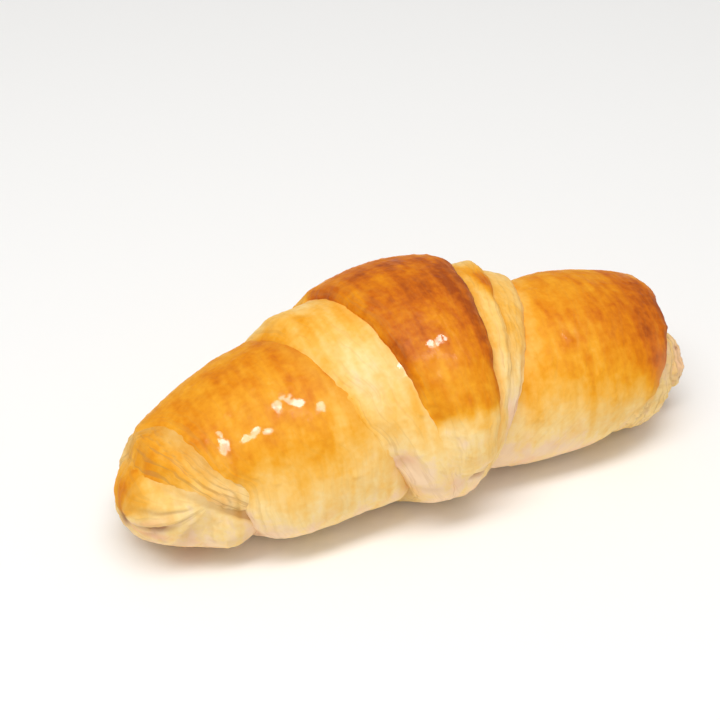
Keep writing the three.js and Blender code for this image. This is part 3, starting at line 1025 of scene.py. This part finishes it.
# The white room's brightness and its lights. The lamp is a disk; the window and its glint are rectangles, and
# the glint only shows in gloss.
LIGHTS_AIM = (0.0, 0.0, 0.02)
ROOM_BRIGHTNESS = 0.46
LAMP_TURN, LAMP_RISE, LAMP_DISTANCE = -30.0, 62.0, 0.9
LAMP_SIZE, LAMP_WATTS = 0.7, 1.0
WINDOW_PLACE, WINDOW_SIZE, WINDOW_WATTS = (-0.22, -0.20, 1.08), (1.15, 0.28), 7.8
GLINT_PLACE, GLINT_SIZE, GLINT_WATTS = (-0.235, -0.245, 1.07), (1.15, 0.85), 22.0


def plain_material(name, colour, roughness):
    """One colour and roughness all over."""
    material = bpy.data.materials.new(name)
    material.use_nodes = True
    shader = material.node_tree.nodes["Principled BSDF"]
    shader.inputs["Base Color"].default_value = colour
    shader.inputs["Roughness"].default_value = roughness
    return material


def make_table():
    """A flat square, a hair below the croissant's belly."""
    mesh = bpy.data.meshes.new("table")
    half = TABLE_SIZE / 2.0
    corners = [(x * half, y * half, -TABLE_DROP) for x, y in ((-1, -1), (1, -1), (1, 1), (-1, 1))]
    mesh.from_pydata(corners, [], [(0, 1, 2, 3)])
    table = bpy.data.objects.new("table", mesh)
    bpy.context.scene.collection.objects.link(table)
    mesh.materials.append(plain_material("pale_table", TABLE_COLOUR, TABLE_ROUGHNESS))


def direction(turn, rise):
    """The unit vector from the object towards a place at that turn and rise, in degrees."""
    turn, rise = math.radians(turn), math.radians(rise)
    return np.array([math.sin(turn) * math.cos(rise), -math.cos(turn) * math.cos(rise), math.sin(rise)])


def aim(thing, place, target):
    """Put a camera or a light at a place, and turn it to face the target."""
    thing.location = place
    thing.rotation_euler = Vector(np.asarray(target) - np.asarray(place)).to_track_quat("-Z", "Y").to_euler()


def area_light(name, shape, place, target, watts):
    """An area light at a place, facing a target."""
    data = bpy.data.lights.new(name, "AREA")
    data.shape = shape
    data.energy = watts
    light = bpy.data.objects.new(name, data)
    bpy.context.scene.collection.objects.link(light)
    aim(light, place, target)
    return light


def window_light(name, place, size, watts):
    """A long light along X, facing a line on the table straight below."""
    light = area_light(name, "RECTANGLE", place, (place[0], *LIGHTS_AIM[1:]), watts)
    light.data.size, light.data.size_y = size
    return light


def make_lights():
    """A white room with a soft lamp, a long window and the window's glint."""
    world = bpy.data.worlds.new("white_room")
    bpy.context.scene.world = world
    world.use_nodes = True
    background = world.node_tree.nodes["Background"]
    background.inputs["Color"].default_value = (1.0, 1.0, 1.0, 1.0)
    background.inputs["Strength"].default_value = ROOM_BRIGHTNESS
    lamp_place = direction(LAMP_TURN, LAMP_RISE) * LAMP_DISTANCE
    lamp = area_light("soft_key", "DISK", lamp_place, LIGHTS_AIM, LAMP_WATTS)
    lamp.data.size = LAMP_SIZE
    window_light("overhead_window", WINDOW_PLACE, WINDOW_SIZE, WINDOW_WATTS)
    glint = window_light("window_glint", GLINT_PLACE, GLINT_SIZE, GLINT_WATTS)
    glint.visible_diffuse = False


def make_camera():
    """A long lens at the photograph's angle, from the front left and above."""
    data = bpy.data.cameras.new("camera")
    data.lens = CAMERA_LENS
    data.sensor_width = CAMERA_SENSOR
    data.clip_start = CAMERA_NEAR
    camera = bpy.data.objects.new("camera", data)
    bpy.context.scene.collection.objects.link(camera)
    aim(camera, LOOK_AT + direction(CAMERA_TURN, CAMERA_RISE) * CAMERA_DISTANCE, LOOK_AT)
    bpy.context.scene.camera = camera
    bpy.context.scene.view_settings.view_transform = "Standard"


make_table()
make_lights()
make_camera()
